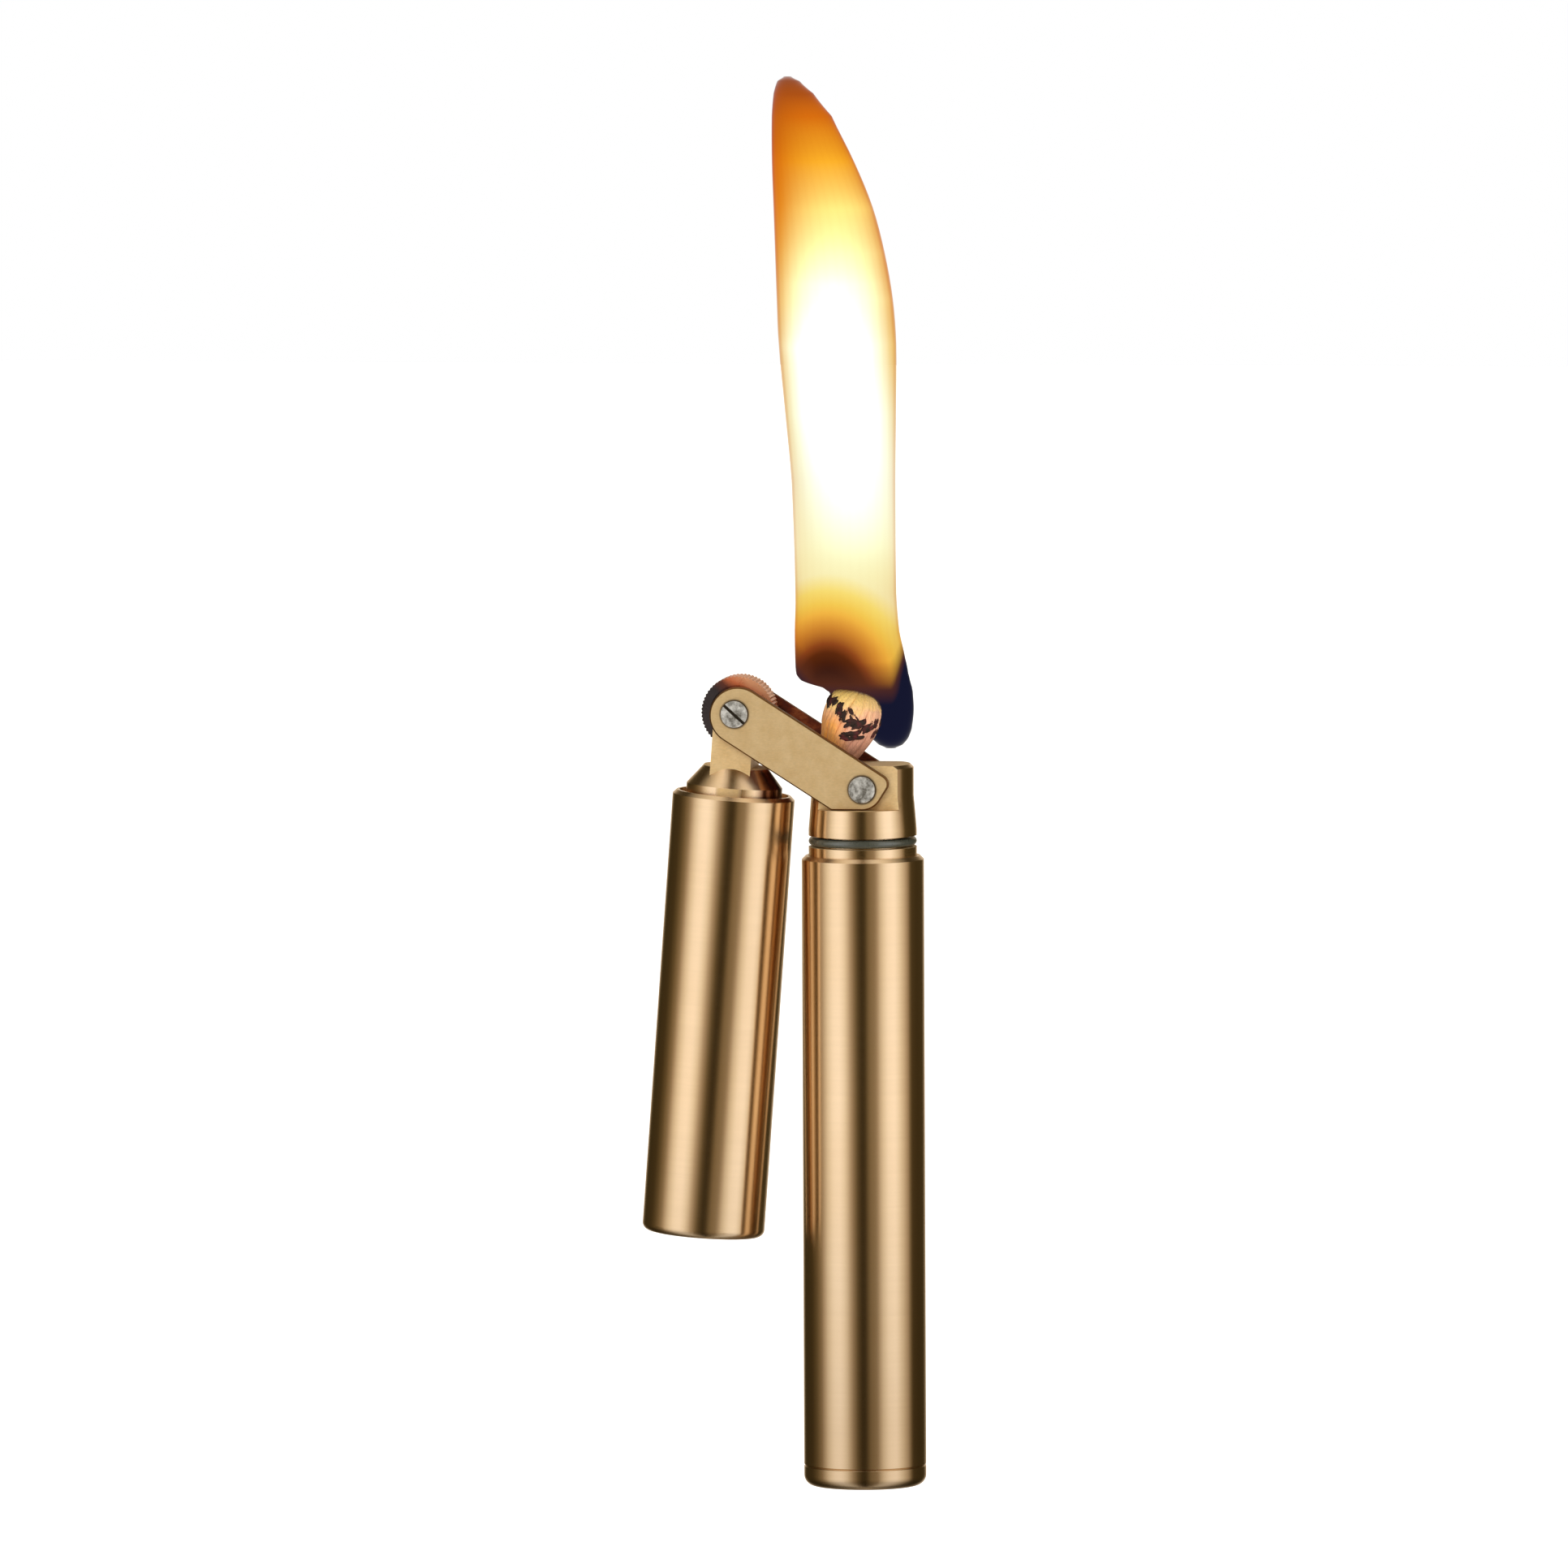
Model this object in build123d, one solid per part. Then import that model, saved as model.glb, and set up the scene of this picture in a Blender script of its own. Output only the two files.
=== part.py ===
"""Folding petrol pocket lighter with a flint wheel and a wick, shown open.

Millimetres. The origin is the centre of the base plug's flat bottom face, +Z runs up the body's
axis, both hinge axes run along Y, and the cap hangs on the -X side.
"""
import os
from math import atan2, cos, degrees, hypot, pi, radians, sin

from build123d import *

# Driving dimensions: the two tubes
tube_outer_r = 6.5
tube_inner_r = 5.8
tube_edge = 0.4                  # outer chamfer on each tube's mouth
seam_edge = 0.12                 # chamfer on both sides of the base plug's seam
slide_fit = 0.05                 # radial clearance of parts that slide in a tube
press_fit = 0.01                 # radial clearance of parts that stay put
body_bottom_z = 2.2
body_top_z = 67.2

# Base plug
plug_edge_r = 1.15
plug_shank_length = 6.0
plug_hollow_r = 4.0
plug_floor = 1.4

# Burner head
head_bottom_z = 60.7
head_top_z = 76.95
head_r = tube_inner_r - slide_fit
head_tip_r = 5.45
taper_start_z = 70.0
taper_end_z = 73.6
head_edge = 0.35
flat_y = 3.5                     # half the head's thickness between its two flats
stop_reach = 2.2                 # from a link plate's pivot to either of its stop flats
stop_gap = 0.05

# O-rings
closing_oring_section_r = 0.45
oring_groove_width = 1.2
oring_groove_depth = 0.95
closing_oring_z = 68.75
hidden_oring_section_r = 0.45    # rings inside the tubes
neck_oring_places = (12.0, 17.5)

# Hinge axes
head_pivot_x = 0.5
head_pivot_z = 74.5
link_length = 15.76
link_rise = 30.3                 # degrees of the open link above -X
close_swing = 57.9               # degrees that the link swings to bring the wheel over the body
cap_lean = 4.3                   # degrees of the hanging cap from the vertical

# Link plates
plate_y = 3.55                   # inner face of each plate
plate_thickness = 0.9
plate_half_width = 3.04
plate_edge = 0.15
plate_corner_r = 1.0             # on the corner above the head pivot
plate_skew = 2.3                 # degrees between the plate's edges and its pivot line
plate_end_back = 0.42            # the round end's centre falls this short of the wheel axle
plate_end_rise = 0.03            # and lies this far above the pivot line

# Pins
screw_head_r = 1.42
screw_head_height = 0.38
screw_slot_width = 0.32
screw_slot_depth = 0.3
screw_slot_turn = 42.0
head_pin_r = 0.9
head_hole_r = head_pin_r + press_fit
barrel_r = 1.15
barrel_bore_r = 0.7
pin_clearance = 0.03
pin_head_gap = 0.05

# Neck, measured from the wheel axle down the cap's axis
ear_inner_y = 2.1
ear_outer_y = 3.45
stem_half_width = 2.15
stem_offset = -0.15               # the stem stands this far to the outer side of the cap's axis
slot_end = 4.15
shoulder_start = 5.8             # the conical shoulder below the square stem
shoulder_end = 7.9
shoulder_top_r = 3.35
shoulder_r = 5.1
piston_start = 9.4
piston_r = tube_inner_r - slide_fit
piston_end = 20.0
piston_edge = 0.3

# Wheel and flint
wheel_r = 3.87
wheel_half_width = 2.0
wheel_teeth = 60
tooth_depth = 0.12
wheel_recess_r = 2.9
wheel_recess_depth = 0.25
wheel_hub_r = 1.9
flint_r = 1.2
flint_bore_r = 1.27
flint_length = 5.0
flint_gap = 0.04
pusher_length = 1.2
spring_end = 17.0
spring_wire_r = 0.16
spring_turns = 9
flint_screw_r = 1.5

# Cap
cap_mouth = 8.7
cap_end = 55.85
cap_floor = 1.0
cap_edge_r = 0.8

# Wick
wick_x = -2.5
wick_r = 1.65
wick_bore_r = 1.75
wick_bottom_z = 49.0
wick_bend_z = 77.65
wick_lean = 18.0                 # degrees towards +X above the head
wick_root_r = 2.2                # where it swells just above the head
wick_bloom_r = 3.0
wick_bloom_height = 4.4          # from the bend to the bloom's widest place
wick_height = 7.4

# Fuel packing
wadding_r = 5.6
wadding_bottom_z = 11.4
wadding_top_z = 60.4
felt_thickness = 2.4

ledge_z = head_pivot_z - stop_reach - stop_gap
axle_x = head_pivot_x - link_length * cos(radians(link_rise))
axle_z = head_pivot_z + link_length * sin(radians(link_rise))
plate_outer_y = plate_y + plate_thickness

ROUND_Y = Rot(-90, 0, 0)         # turns an upright cylinder's axis to lie along +Y


def disc(radius, low, high):
    """Upright cylinder on the Z axis between two heights."""
    return Pos(0, 0, (low + high) / 2) * Cylinder(radius, high - low)


def cross_pin(radius, low_y, high_y):
    """Cylinder along Y between two Y values."""
    return Pos(0, (low_y + high_y) / 2, 0) * ROUND_Y * Cylinder(radius, high_y - low_y)


def turned(*points):
    """Solid turned from (radius, height) points that start and end on the axis."""
    outline = Polyline(*[(radius, 0, height) for radius, height in points], close=True)
    return revolve(make_face(outline), Axis.Z)


def oring(outer_r, section_r, height):
    return Pos(0, 0, height) * Torus(outer_r - section_r, section_r)


def groove(outer_r, height):
    """Ring cut out of a turned part for an O-ring."""
    low, high = height - oring_groove_width / 2, height + oring_groove_width / 2
    return disc(outer_r + 1, low, high) - disc(outer_r - oring_groove_depth, low - 1, high + 1)


def at_head_pivot(shape):
    return Pos(head_pivot_x, 0, head_pivot_z) * shape


def at_axle(shape):
    return Pos(axle_x, 0, axle_z) * shape


def in_neck(shape):
    """Place a shape drawn around the axle, with the cap's axis along -Z, as the neck hangs."""
    return at_axle(Rot(0, cap_lean, 0) * shape)


def slotted_head(inner_y, side, turn):
    """Low screw head with a crossways slot; side is -1 for the front and 1 for the rear."""
    outer_y = inner_y + side * screw_head_height
    head = cross_pin(screw_head_r, min(inner_y, outer_y), max(inner_y, outer_y))
    rim = head.edges().filter_by(GeomType.CIRCLE).sort_by(Axis.Y)[0 if side < 0 else -1]
    head = chamfer(rim, 0.08)
    slot = Box(3 * screw_head_r, 2 * screw_slot_depth, screw_slot_width)
    return head - Pos(0, outer_y, 0) * Rot(0, turn, 0) * slot


def make_body_tube():
    tube = disc(tube_outer_r, body_bottom_z, body_top_z)
    tube = chamfer(tube.edges().sort_by(Axis.Z)[-1], tube_edge)
    tube = chamfer(tube.edges().sort_by(Axis.Z)[0], seam_edge)
    return tube - disc(tube_inner_r, body_bottom_z - 1, body_top_z + 1)


def make_base_plug():
    """Flange that closes the tube, with a hollow shank that screws up into it."""
    flange = disc(tube_outer_r, 0, body_bottom_z)
    flange = chamfer(flange.edges().sort_by(Axis.Z)[-1], seam_edge)
    flange = fillet(flange.edges().sort_by(Axis.Z)[0], plug_edge_r)
    shank_top = body_bottom_z + plug_shank_length
    shank = disc(tube_inner_r - slide_fit, body_bottom_z, shank_top)
    shank = chamfer(shank.edges().sort_by(Axis.Z)[-1], 0.4)
    plug = flange + shank - disc(plug_hollow_r, plug_floor, shank_top + 1)
    return plug - groove(tube_inner_r - slide_fit, base_oring_z())


def base_oring_z():
    return body_bottom_z + 0.4 + oring_groove_width / 2


def make_burner_head():
    """Turned head with two flats for the link plates, a ledge under them and the wick hole."""
    head = turned(
        (0, head_bottom_z),
        (tube_inner_r - press_fit, head_bottom_z),
        (tube_inner_r - press_fit, body_top_z - 0.3),
        (head_r, body_top_z - 0.3),
        (head_r, taper_start_z),
        (head_tip_r, taper_end_z),
        (head_tip_r, head_top_z - head_edge),
        (head_tip_r - head_edge, head_top_z),
        (0, head_top_z),
    )
    head -= groove(head_r, closing_oring_z)
    side_depth = 4.0
    side_height = head_top_z - ledge_z + 2
    for side in (-1, 1):
        middle_y = side * (flat_y + side_depth / 2)
        head -= Pos(0, middle_y, ledge_z + side_height / 2) * Box(4 * head_r, side_depth, side_height)
    head -= Pos(wick_x, 0, 0) * disc(wick_bore_r, head_bottom_z - 1, head_top_z + 1)
    return head - at_head_pivot(cross_pin(head_hole_r, -head_r - 1, head_r + 1))


def make_head_pin():
    """Plain rivet pin with a low domed head outside each link plate."""
    head_y = plate_outer_y + pin_head_gap
    pin = cross_pin(head_pin_r, -head_y, head_y)
    for side in (-1, 1):
        outer_y = side * (head_y + screw_head_height)
        head = cross_pin(screw_head_r, min(side * head_y, outer_y), max(side * head_y, outer_y))
        rim = head.edges().filter_by(GeomType.CIRCLE).sort_by(Axis.Y)[0 if side < 0 else -1]
        pin += fillet(rim, 0.2)
    return at_head_pivot(pin)


def make_wick():
    """Straight in the head, then leaning into a frayed bloom."""
    stalk = disc(wick_r, wick_bottom_z - wick_bend_z, 0.3)
    stem = Polyline((0, 0, -0.6), (wick_r, 0, -0.6))
    side = Spline(
        (wick_r, 0, -0.6),
        (wick_root_r, 0, 0.25 * wick_bloom_height),
        (wick_bloom_r, 0, wick_bloom_height),
        (0.7 * wick_bloom_r, 0, 0.87 * wick_height),
        (0, 0, wick_height),
        tangents=[(0.5, 0, 1), (-1, 0, 0)],
    )
    axis = Line((0, 0, wick_height), (0, 0, -0.6))
    bloom = revolve(make_face(stem + side + axis), Axis.Z)
    return Pos(wick_x, 0, wick_bend_z) * (stalk + Rot(0, wick_lean, 0) * bloom)


def make_fuel_wadding():
    wadding = disc(wadding_r, wadding_bottom_z, wadding_top_z)
    return wadding - Pos(wick_x, 0, 0) * disc(wick_bore_r, wick_bottom_z - 0.05, wadding_top_z + 1)


def make_felt_pad():
    return disc(wadding_r, wadding_bottom_z - felt_thickness, wadding_bottom_z)


def link_point(along, across):
    """Point of the open link: along its pivot line towards the axle, and across it upwards."""
    rise = radians(link_rise)
    return Vector(across * sin(rise) - along * cos(rise), 0, across * cos(rise) + along * sin(rise))


def meet(point_a, direction_a, point_b, direction_b):
    """Crossing of two lines in the XZ plane."""
    turn = direction_a.X * direction_b.Z - direction_a.Z * direction_b.X
    gap = point_b - point_a
    return point_a + direction_a * ((gap.X * direction_b.Z - gap.Z * direction_b.X) / turn)


def link_outline():
    """Outline about the head pivot: a skewed bar with one round end, and two stop flats that
    rest on the head's ledge when the link is open and when it is closed."""
    skew = radians(plate_skew)
    end_centre = link_point(link_length - plate_end_back, plate_end_rise)
    run = link_point(cos(skew), sin(skew))
    lift = link_point(-sin(skew), cos(skew))
    upper_tangent = end_centre + lift * plate_half_width
    lower_tangent = end_centre - lift * plate_half_width
    tip = end_centre + run * plate_half_width
    close = radians(close_swing)
    open_foot = Vector(0, 0, -stop_reach)
    closed_foot = Vector(stop_reach * sin(close), 0, -stop_reach * cos(close))
    middle_foot = Vector(stop_reach * sin(close / 2), 0, -stop_reach * cos(close / 2))
    closed_flat = Vector(cos(close), 0, sin(close))
    lower_corner = meet(lower_tangent, run, open_foot, Vector(1, 0, 0))
    upper_corner = meet(upper_tangent, run, closed_foot, closed_flat)
    return (
        ThreePointArc(upper_tangent, tip, lower_tangent)
        + Line(lower_tangent, lower_corner)
        + Line(lower_corner, open_foot)
        + ThreePointArc(open_foot, middle_foot, closed_foot)
        + Line(closed_foot, upper_corner)
        + Line(upper_corner, upper_tangent)
    )


def make_link_plate(side):
    """Flat plate on the front (-1) or rear (1), with a bevelled outer edge."""
    face = make_face(link_outline())
    plate = extrude(face, amount=plate_thickness, dir=(0, side, 0))
    upper_corner = plate.edges().filter_by(Axis.Y).sort_by(Axis.X)[-1]
    plate = fillet(upper_corner, plate_corner_r)
    outer_face = plate.faces().filter_by(Axis.Y).sort_by(Axis.Y)[0 if side < 0 else -1]
    plate = chamfer(outer_face.edges(), plate_edge)
    plate = Pos(0, side * plate_y, 0) * plate
    plate -= cross_pin(head_pin_r + pin_clearance, -tube_outer_r, tube_outer_r)
    axle_hole = Pos(link_point(link_length, 0)) * cross_pin(
        barrel_r + press_fit, -tube_outer_r, tube_outer_r)
    return at_head_pivot(plate - axle_hole)


def make_axle_screw():
    shank = cross_pin(barrel_bore_r - press_fit, -plate_outer_y, 1.0)
    return at_axle(shank + slotted_head(-plate_outer_y, -1, screw_slot_turn))


def make_axle_barrel():
    """Sleeve with a slotted head behind the rear plate; the wheel and the neck turn on it."""
    barrel = cross_pin(barrel_r, -plate_outer_y + 0.1, plate_outer_y)
    barrel += slotted_head(plate_outer_y, 1, -screw_slot_turn)
    return at_axle(barrel - cross_pin(barrel_bore_r, -plate_outer_y, 1.2))


def make_shoulder():
    """Conical shoulder, turned, from the stem out to just inside the cap's mouth."""
    return turned(
        (0, -shoulder_start),
        (shoulder_top_r, -shoulder_start),
        (shoulder_r, -shoulder_end),
        (shoulder_r, -piston_start),
        (0, -piston_start),
    )


def make_hinge_neck():
    """Fork, square stem, conical shoulder and piston in one piece."""
    stem_length = shoulder_end
    stem = Pos(0, 0, -stem_length / 2) * Box(2 * stem_half_width, 2 * ear_outer_y, stem_length)
    stem += cross_pin(stem_half_width, -ear_outer_y, ear_outer_y)
    stem = Pos(stem_offset, 0, 0) * stem
    stem += make_shoulder()
    stem += turned(
        (0, -piston_start),
        (piston_r, -piston_start),
        (piston_r, -piston_end + piston_edge),
        (piston_r - piston_edge, -piston_end),
        (0, -piston_end),
    )
    stem -= Pos(0, 0, -slot_end / 2 + 2) * Box(4 * wheel_r, 2 * ear_inner_y, slot_end + 4)
    stem -= cross_pin(barrel_r + pin_clearance, -tube_outer_r, tube_outer_r)
    stem -= disc(flint_bore_r, -spring_end, 0)
    stem -= disc(flint_screw_r + press_fit, -piston_end - 1, -spring_end)
    for place in neck_oring_places:
        stem -= groove(piston_r, -place)
    return in_neck(stem)


def make_neck_orings():
    rings = [in_neck(oring(piston_r, hidden_oring_section_r, -place)) for place in neck_oring_places]
    return Compound(children=rings)


flint_top = wheel_r + flint_gap
pusher_top = flint_top + flint_length
spring_top = pusher_top + pusher_length


def make_flint():
    stick = disc(flint_r, -pusher_top, -flint_top + 0.6)
    worn = cross_pin(wheel_r + flint_gap, -tube_outer_r, tube_outer_r)
    return in_neck(stick - worn)


def make_flint_pusher():
    """Brass tip between the flint and the spring, with a peg inside the spring."""
    peg = disc(0.6, -spring_top - 0.8, -spring_top)
    return in_neck(disc(flint_r, -spring_top, -pusher_top) + peg)


def make_flint_spring():
    coil_r = flint_r - spring_wire_r - 0.05
    length = spring_end - spring_top - 2 * spring_wire_r - 0.04
    path = Helix(pitch=length / spring_turns, height=length, radius=coil_r)
    start = Plane(origin=path @ 0, z_dir=path % 0)
    coil = sweep(start * Circle(spring_wire_r), path=path)
    return in_neck(Pos(0, 0, -spring_end + spring_wire_r + 0.02) * coil)


def make_flint_screw():
    screw = disc(flint_screw_r, -piston_end, -spring_end)
    slot = Box(3 * flint_screw_r, 0.5, 1.2)
    return in_neck(screw - Pos(0, 0, -piston_end) * slot)


def make_striker_wheel():
    """Serrated wheel with a recessed face and a raised hub on each side."""
    step = 2 * pi / wheel_teeth
    outline = []
    for tooth in range(wheel_teeth):
        for turn, radius in ((0.0, wheel_r), (0.14, wheel_r), (0.57, wheel_r - tooth_depth)):
            angle = (tooth + turn) * step
            outline.append((radius * cos(angle), 0, radius * sin(angle)))
    rim = make_face(Polyline(*outline, close=True))
    wheel = extrude(rim, amount=wheel_half_width, dir=(0, 1, 0), both=True)
    for side in (-1, 1):
        deep = side * (wheel_half_width - wheel_recess_depth)
        proud = side * (wheel_half_width + 1)
        low, high = min(deep, proud), max(deep, proud)
        wheel -= cross_pin(wheel_recess_r, low, high) - cross_pin(wheel_hub_r, low - 1, high + 1)
    return at_axle(wheel - cross_pin(barrel_r + pin_clearance, -tube_outer_r, tube_outer_r))


def make_cap_tube():
    cap = disc(tube_outer_r, -cap_end, -cap_mouth)
    cap = fillet(cap.edges().sort_by(Axis.Z)[0], cap_edge_r)
    cap = chamfer(cap.edges().sort_by(Axis.Z)[-1], tube_edge)
    return in_neck(cap - disc(tube_inner_r, -cap_end + cap_floor, -cap_mouth + 1))


parts = {
    "body_tube": make_body_tube(),
    "base_plug": make_base_plug(),
    "base_oring": oring(tube_inner_r - slide_fit, hidden_oring_section_r, base_oring_z()),
    "burner_head": make_burner_head(),
    "closing_oring": oring(head_r, closing_oring_section_r, closing_oring_z),
    "head_pin": make_head_pin(),
    "wick": make_wick(),
    "fuel_wadding": make_fuel_wadding(),
    "felt_pad": make_felt_pad(),
    "front_link_plate": make_link_plate(-1),
    "rear_link_plate": make_link_plate(1),
    "axle_screw": make_axle_screw(),
    "axle_barrel": make_axle_barrel(),
    "hinge_neck": make_hinge_neck(),
    "neck_orings": make_neck_orings(),
    "flint": make_flint(),
    "flint_pusher": make_flint_pusher(),
    "flint_spring": make_flint_spring(),
    "flint_screw": make_flint_screw(),
    "striker_wheel": make_striker_wheel(),
    "cap_tube": make_cap_tube(),
}

os.makedirs("parts", exist_ok=True)
for name, shape in parts.items():
    export_step(shape, f"parts/{name}.step")

print(f"head pivot ({head_pivot_x:.3f}, {head_pivot_z:.3f})  axle ({axle_x:.3f}, {axle_z:.3f})")
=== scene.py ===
"""Looks of the folding petrol pocket lighter: turned and brushed brass, steel pins, a rubber ring,
a burnt braided wick, and a flame that is only there for the picture."""
from math import cos, pi, radians, sin
from random import Random

import bmesh
import bpy
from mathutils import Matrix, Vector


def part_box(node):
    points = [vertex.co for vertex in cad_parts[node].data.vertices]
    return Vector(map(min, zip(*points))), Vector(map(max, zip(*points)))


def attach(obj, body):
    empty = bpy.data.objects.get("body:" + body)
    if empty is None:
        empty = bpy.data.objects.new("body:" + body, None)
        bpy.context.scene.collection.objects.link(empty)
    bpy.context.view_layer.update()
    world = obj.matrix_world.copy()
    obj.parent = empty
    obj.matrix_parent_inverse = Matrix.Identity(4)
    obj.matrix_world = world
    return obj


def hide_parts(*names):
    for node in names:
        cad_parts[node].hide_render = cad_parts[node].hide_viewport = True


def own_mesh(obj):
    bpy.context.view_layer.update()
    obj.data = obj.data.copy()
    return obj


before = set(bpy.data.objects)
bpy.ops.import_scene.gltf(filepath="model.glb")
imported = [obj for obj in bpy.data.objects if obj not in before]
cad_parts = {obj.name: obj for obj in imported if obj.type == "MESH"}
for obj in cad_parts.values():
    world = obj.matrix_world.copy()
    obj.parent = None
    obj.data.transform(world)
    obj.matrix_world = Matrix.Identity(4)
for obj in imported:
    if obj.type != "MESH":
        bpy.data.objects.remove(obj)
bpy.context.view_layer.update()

MM = 0.001
Z_AXIS = Vector((0, 0, 1))
CAP_LEAN = 4.3                   # degrees of the hanging cap, as in the frame
CAP_AXIS = Matrix.Rotation(radians(CAP_LEAN), 3, "Y") @ Z_AXIS

# The wick above the burner head, as the frame has it
WICK_ROOT = Vector((-0.0025, 0, 0.07765))
WICK_LEAN = 18                   # degrees towards +X
WICK_HEIGHT = 7.4 * MM


# ---------------------------------------------------------------- node helpers

# The Mix node's sockets by number, because several share a name
MIX_NUMBERS = (2, 3)
MIX_COLOURS = (6, 7)
MIX_RESULT = 2                   # its colour output


def new_material(name):
    """Material with an empty tree but for its output and a Principled shader."""
    material = bpy.data.materials.new(name)
    material.use_nodes = True
    tree = material.node_tree
    tree.nodes.clear()
    output = tree.nodes.new("ShaderNodeOutputMaterial")
    shader = tree.nodes.new("ShaderNodeBsdfPrincipled")
    tree.links.new(shader.outputs["BSDF"], output.inputs["Surface"])
    return material, tree, shader


def node(tree, kind, **values):
    """New node; values are its properties or, where the name is an input's, that socket."""
    made = tree.nodes.new(kind)
    for key, value in values.items():
        if hasattr(made, key):
            setattr(made, key, value)
        else:
            made.inputs[key.replace("_", " ")].default_value = value
    return made


def join(tree, start, end):
    """Output start to input end."""
    tree.links.new(start, end)


def feed(tree, value, socket):
    """Number, colour or another node's output into a socket."""
    if isinstance(value, (int, float)):
        socket.default_value = value
    elif isinstance(value, tuple):
        socket.default_value = (*value, 1)
    else:
        join(tree, value, socket)


def ramp(tree, source, stops):
    """Colour ramp over (position, colour) stops, fed by a 0 to 1 value."""
    made = tree.nodes.new("ShaderNodeValToRGB")
    elements = made.color_ramp.elements
    while len(elements) < len(stops):
        elements.new(0.5)
    for element, (position, colour) in zip(elements, stops):
        element.position = position
        element.color = (*colour, 1) if len(colour) == 3 else colour
    join(tree, source, made.inputs["Fac"])
    return made.outputs["Color"]


def grey(value):
    return (value, value, value)


def place(tree, axis=Z_AXIS, stretch=(1, 1, 1)):
    """Object position with axis turned onto Z, then stretched: (radial, radial, along)."""
    coordinates = node(tree, "ShaderNodeTexCoord")
    turn = node(tree, "ShaderNodeMapping")
    turn.inputs["Rotation"].default_value = axis.rotation_difference(Z_AXIS).to_euler()
    join(tree, coordinates.outputs["Object"], turn.inputs["Vector"])
    scale = node(tree, "ShaderNodeMapping")
    scale.inputs["Scale"].default_value = stretch
    join(tree, turn.outputs["Vector"], scale.inputs["Vector"])
    return scale.outputs["Vector"]


def noise_at(tree, vector, scale, detail=2.0, roughness=0.5):
    made = node(tree, "ShaderNodeTexNoise", Scale=scale, Detail=detail, Roughness=roughness)
    join(tree, vector, made.inputs["Vector"])
    return made.outputs["Fac"]


def spread(tree, value, low, high):
    """Maps a noise's middle range onto low to high."""
    made = node(tree, "ShaderNodeMapRange")
    made.inputs["From Min"].default_value = 0.3
    made.inputs["From Max"].default_value = 0.7
    made.inputs["To Min"].default_value = low
    made.inputs["To Max"].default_value = high
    join(tree, value, made.inputs["Value"])
    return made.outputs["Result"]


def bump(tree, shader, height, distance, strength=1.0, under=None):
    made = node(tree, "ShaderNodeBump", Strength=strength, Distance=distance)
    join(tree, height, made.inputs["Height"])
    if under is not None:
        join(tree, under, made.inputs["Normal"])
    join(tree, made.outputs["Normal"], shader.inputs["Normal"])
    return made.outputs["Normal"]


def blend(tree, share, first, second):
    """Number between two numbers or sockets."""
    made = node(tree, "ShaderNodeMix", data_type="FLOAT")
    feed(tree, share, made.inputs[0])
    feed(tree, first, made.inputs[MIX_NUMBERS[0]])
    feed(tree, second, made.inputs[MIX_NUMBERS[1]])
    return made.outputs[0]


def mix_colour(tree, share, first, second, blend_type="MIX"):
    """Colour between two colours or sockets, or the second blended onto the first."""
    made = node(tree, "ShaderNodeMix", data_type="RGBA", blend_type=blend_type)
    feed(tree, share, made.inputs[0])
    feed(tree, first, made.inputs[MIX_COLOURS[0]])
    feed(tree, second, made.inputs[MIX_COLOURS[1]])
    return made.outputs[MIX_RESULT]


def times(tree, first, second):
    """Two colours multiplied."""
    return mix_colour(tree, 1.0, first, second, "MULTIPLY")


def maths(tree, operation, first, second=None):
    made = node(tree, "ShaderNodeMath", operation=operation)
    feed(tree, first, made.inputs[0])
    if second is not None:
        feed(tree, second, made.inputs[1])
    return made.outputs[0]


def plus(tree, first, second):
    return maths(tree, "ADD", first, second)


def minus(tree, first, second):
    return maths(tree, "SUBTRACT", first, second)


def product(tree, first, second):
    return maths(tree, "MULTIPLY", first, second)


def ratio(tree, first, second):
    return maths(tree, "DIVIDE", first, second)


def larger(tree, first, second):
    return maths(tree, "MAXIMUM", first, second)


def square(tree, value):
    return product(tree, value, value)


def absolute(tree, value):
    return maths(tree, "ABSOLUTE", value)


def mask_above(tree, value, edge, width):
    """0 to 1 as value passes an edge."""
    made = node(tree, "ShaderNodeMapRange")
    made.inputs["From Min"].default_value = edge - width / 2
    made.inputs["From Max"].default_value = edge + width / 2
    join(tree, value, made.inputs["Value"])
    return made.outputs["Result"]


def mask_below(tree, value, edge, width):
    """1 to 0 as value passes an edge."""
    return minus(tree, 1.0, mask_above(tree, value, edge, width))


def parts_of(tree, vector):
    """X, Y and Z of a vector."""
    split = node(tree, "ShaderNodeSeparateXYZ")
    join(tree, vector, split.inputs[0])
    return split.outputs


def own_normal(tree):
    """Surface normal in the piece's own space, as X, Y and Z."""
    return parts_of(tree, node(tree, "ShaderNodeTexCoord").outputs["Normal"])


# ---------------------------------------------------------------- materials

BRASS = (0.90, 0.67, 0.44)
BRASS_WARM = (0.82, 0.56, 0.31)
MATT_BRASS = (0.66, 0.48, 0.25)
MATT_BRASS_WARM = (0.57, 0.38, 0.17)
MATT_METALLIC = 0.4
PAINTED_RED_REFLECTION = (0.16, 0.045, 0.022)    # painted dark-red reflection, on the shoulder's side towards the flame
PAINTED_SHADE_BEVEL = (0.24, 0.12, 0.045)      # the plates' edges, darkened as painted shade
PAINTED_PIN_SHADOW = (0.06, 0.035, 0.02)       # painted shadow on the plates round the pins
# painted shade in the pins' slots and low round their heads
PAINTED_SLOT_SHADE = (0.035, 0.025, 0.015)
PIN_EDGE = 1.56 * MM             # radius of the painted shadow round the pins
FLAT_FACE = 0.97                 # normal along Y above which a face is one of the milled flats


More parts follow.
